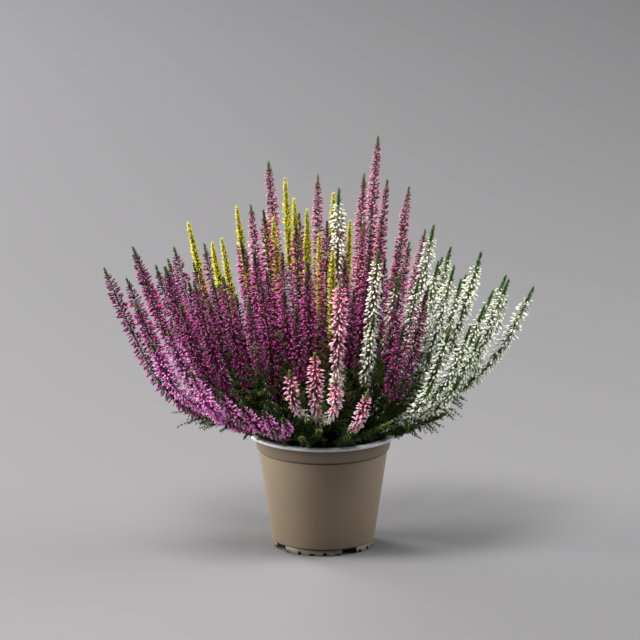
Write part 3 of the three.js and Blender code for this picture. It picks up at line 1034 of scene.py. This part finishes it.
def makeSoilBed(rng):
    clearPick()
    s = soilSize
    bpy.ops.mesh.primitive_circle_add(vertices=s["steps"], radius=s["edge"] * mm, fill_type="NGON",
                                      location=(0, 0, s["level"] * mm))
    soil = bpy.context.object
    soil.name = "soil_bed"
    bpy.ops.object.transform_apply(location=True)
    editAll()
    for ring in range(s["rings"]):
        bpy.ops.mesh.inset(thickness=s["edge"] / (s["rings"] + 1) * mm, depth=0)
    endEdit()
    for point in soil.data.vertices:
        x, y = point.co.x / mm, point.co.y / mm
        edge = min(1, (s["edge"] - math.hypot(x, y)) / 4 + 0.15)  # calmer towards the wall
        wave = math.sin(x * 0.31 + 1.3) * math.sin(y * 0.27) + 0.6 * math.sin(x * 0.83 + y * 0.71)
        point.co.z += (wave + rng.normal(0, 0.35)) * s["relief"] * edge * mm

    # the body of the soil below its surface
    bpy.ops.object.mode_set(mode="EDIT")
    bpy.ops.mesh.select_all(action="DESELECT")
    bpy.ops.mesh.select_mode(type="EDGE")
    bpy.ops.mesh.select_non_manifold()
    outline = [(s["edge"], s["level"]), *s["body"]]
    for (r0, z0), (r1, z1) in zip(outline, outline[1:]):
        bpy.ops.mesh.extrude_edges_move(TRANSFORM_OT_translate={"value": (0, 0, (z1 - z0) * mm)})
        bpy.ops.transform.resize(value=(r1 / r0, r1 / r0, 1))
    bpy.ops.mesh.edge_face_add()
    bpy.ops.mesh.select_all(action="SELECT")
    bpy.ops.mesh.normals_make_consistent(inside=False)
    bpy.ops.mesh.select_mode(type="VERT")
    endEdit()
    for layer in list(soil.data.uv_layers):
        soil.data.uv_layers.remove(layer)
    soil.data.uv_layers.new(name="bud")
    for face in soil.data.polygons:
        face.use_smooth = True
    return soil


def strewCrumbs(finishes, shapes, rng):
    s = soilSize
    n = s["crumbs"]
    radius = (s["edge"] - s["crumbMargin"]) * np.sqrt(rng.random(n))
    angle = rng.uniform(0, 2 * math.pi, n)
    level = s["level"] + rng.uniform(*s["crumbLevel"], n)
    foot = np.stack([radius * np.cos(angle), radius * np.sin(angle), level], axis=1)
    axis = unit(rng.normal(0, 1, (n, 3)))
    side = unit(np.cross(axis, rng.normal(0, 1, (n, 3))))
    smallest, more = s["crumbSize"]
    size = smallest + more * rng.random(n) ** 3
    bunch = Bunch()
    bunch.stamp(shapes["crumb"], foot, axis, side, size * rng.uniform(0.7, 1.8, n), size, 1, rng.random(n),
                np.zeros(n), thick=size * rng.uniform(0.5, 1, n))
    crumbs = bunch.build("soil_grit", finishes)
    for face in crumbs.data.polygons:
        face.use_smooth = False
    return crumbs


def makeSoil(finishes, shapes):
    rng = np.random.default_rng(soilSize["seed"])
    soil = makeSoilBed(rng)
    for finish in finishes:
        soil.data.materials.append(finish)
    pick(soil, [strewCrumbs(finishes, shapes, rng)])
    bpy.ops.object.join()
    return bpy.context.object


setStudio()
print("studio set")

shapes = {"bud": makeBud(), "leaf": makeCone(0.58, 0), "twig": makeCone(0.5, 0.2), "crumb": makeCrumb()}
pot = makePot(potFinish(), rimFinish())
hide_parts("pot")
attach(pot, "root")
print("pot made")

soil = makeSoil([soilFinish(), crumbFinish()], shapes)
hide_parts("potting_soil")
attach(soil, "root")
print("soil made")

greenLeaf = leafFinish("green_leaf", (30, 52, 14), (92, 120, 38))
greenStem = stemFinish("green_stem", (54, 46, 30), (72, 82, 40))
redStem = stemFinish("red_stem", (52, 36, 28), (58, 40, 30))
stalk = (46, 34, 26)
# bud colours: the dark bases and pale tips are partly the buds' own colour and partly painted shade and
# painted highlight
budLook = {
    "violet": petalFinish("violet_buds", stalk, (90, 16, 44), (158, 50, 116), (208, 128, 180), (172, 76, 146),
                          (78, 32, 48), dim=0.43, gain=0.7, bare=0.3),
    # lilac: the violet lightened, partly for paler open flowers and partly as painted light on sprays shaded
    # by the fan above
    "lilac": petalFinish("lilac_buds", stalk, (126, 44, 96), (206, 108, 184), (248, 194, 234), (216, 128, 198),
                         (110, 54, 84), age=0.5, dim=0.76, gain=0.66),
    "purple": petalFinish("purple_buds", stalk, (84, 12, 40), (152, 44, 108), (230, 140, 196), (162, 58, 130),
                          (62, 22, 36), dim=0.53, gain=0.78, bare=0.28),
    "pink": petalFinish("pink_buds", (60, 36, 30), (124, 32, 58), (204, 102, 144), (248, 192, 214),
                        (184, 84, 128), (132, 64, 84), bare=0.28),
    "blush": petalFinish("blush_buds", (72, 64, 38), (212, 108, 146), (250, 194, 214), (255, 244, 244),
                         (255, 254, 234), (216, 116, 152), age=0.95, dim=1.06, gain=0.34, bare=0.34),
    "white": petalFinish("white_buds", (40, 50, 24), (212, 218, 180), (253, 254, 246), (255, 255, 252),
                         (252, 252, 236), (218, 226, 186), age=0.5, dim=0.86, gain=0.34, bare=0.4),
    "yellow": leafFinish("yellow_leaf", (132, 126, 12), (214, 206, 42)),
    "green": greenLeaf,
}
tipLook = {
    "violet": leafFinish("violet_tip", (54, 62, 36), (92, 104, 58)),
    "purple": leafFinish("purple_tip", (46, 38, 34), (82, 66, 58)),
    "pink": leafFinish("pink_tip", (60, 72, 36), (104, 110, 60)),
    "blush": leafFinish("blush_tip", (92, 100, 46), (150, 150, 84)),
    "white": leafFinish("white_tip", (44, 76, 32), (88, 122, 56)),
    "yellow": leafFinish("yellow_tip", (168, 164, 30), (218, 212, 74)),
    "green": leafFinish("green_tip", (58, 80, 22), (122, 146, 48)),
}
stemLook = {"violet": redStem, "purple": redStem, "pink": stemFinish("rosy_stem", (52, 34, 26), (88, 46, 42))}
leafLook = {"yellow": leafFinish("olive_leaf", (64, 74, 24), (116, 118, 38))}
# the sprays at the low front edge of the violet fan are lighter: partly their own paler, more open flowers and
# partly painted light where the fan above shades them
otherBuds = {"violet_spray_7": "lilac", "violet_spray_10": "lilac", "purple_spray_7": "violet"}

shoots = plantShoots()
for number, main in enumerate(s for s in shoots if s["rank"] == 0):
    kind = main["variety"]
    sides = [s for s in shoots if s["variety"] == kind and s["spray"] == main["spray"] and s["rank"] > 0]
    node = ("leafy_shoot" if kind == "green" else kind + "_spray") + "_" + str(main["spray"] + 1)
    look = otherBuds.get(node, kind)
    finishes = [budLook[look], leafLook.get(kind, greenLeaf), stemLook.get(kind, greenStem), tipLook[kind]]
    variety = varieties["lilac" if look == "lilac" else kind]
    piece = growSpray(node + "_growth", main, sides, variety, finishes, shapes, 100 + number)
    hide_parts(node)
    "heather_leaf" if kind == "green" else kind + "_heather"
    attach(piece, "root")
shown = [o for o in bpy.data.objects if o.type == "MESH" and not o.hide_render]
print("sprays grown,", sum(len(o.data.loop_triangles) or len(o.data.polygons) for o in shown), "faces")
